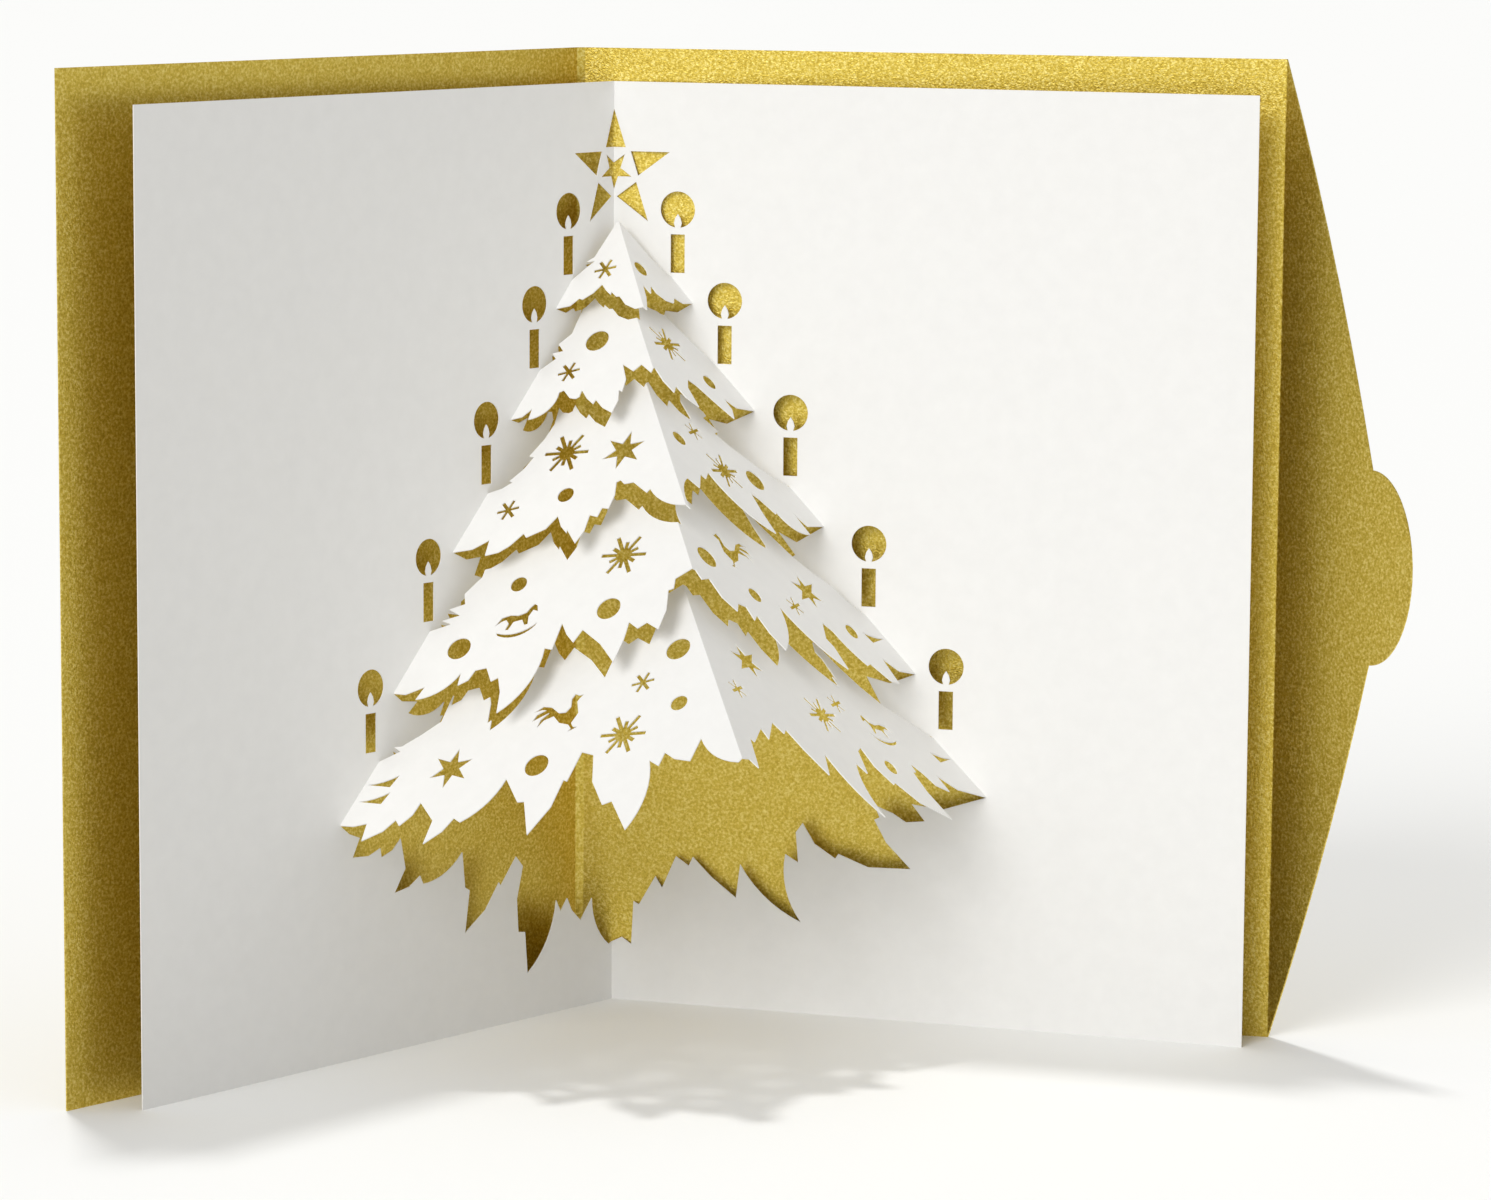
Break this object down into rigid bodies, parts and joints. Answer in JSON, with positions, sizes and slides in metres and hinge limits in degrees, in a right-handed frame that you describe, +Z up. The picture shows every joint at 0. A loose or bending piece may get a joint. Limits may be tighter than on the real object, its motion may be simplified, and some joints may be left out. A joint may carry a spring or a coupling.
{
  "type": "pop-up card",
  "caption": "Standing pop-up greeting card: a gold folded cover with a closing flap holds a white sheet cut and folded into a fir tree of stepped branches.",
  "frame": {"origin": "foot of the cover's spine, in the middle of the card's thickness", "axes": "+Z up, the card opens towards -Y, +X to the viewer's right, on the side of the flap"},
  "size_m": [0.2315, 0.0975, 0.176],
  "materials": {
    "gold_card": "pearl metallic card, fine grain",
    "white_card": "smooth matt card"
  },
  "bodies": {
    "root": {"gold_cover": "gold_card", "white_tree": "white_card"}
  },
  "joints": []
}
